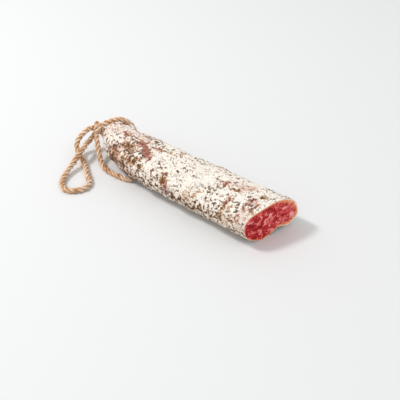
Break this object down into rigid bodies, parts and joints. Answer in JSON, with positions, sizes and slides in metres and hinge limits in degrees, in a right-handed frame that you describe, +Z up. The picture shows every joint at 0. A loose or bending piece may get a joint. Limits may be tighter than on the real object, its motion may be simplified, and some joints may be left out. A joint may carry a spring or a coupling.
{
  "type": "longaniza sausage",
  "caption": "Cured longaniza sausage in a mould-covered casing, cut across at one end, the other end bent and tied off with jute twine that runs out to a hanging loop and a loose tail.",
  "frame": {"origin": "on the table under the middle of the sausage's box, without the twine's free loop and tail", "axes": "+X along the straight stretch towards the cut face, +Y the way the tied end bends, +Z up from the table"},
  "size_m": [0.1774, 0.0773, 0.0281],
  "materials": {
    "cured_sausage": "dry cream mould on a red-brown casing, with a deep red cut face",
    "twine": "dry twisted jute"
  },
  "bodies": {
    "root": {"sausage": "cured_sausage", "twine_ring": "twine", "twine_knot": "twine", "twine_loop": "twine", "twine_tail": "twine"}
  },
  "joints": []
}
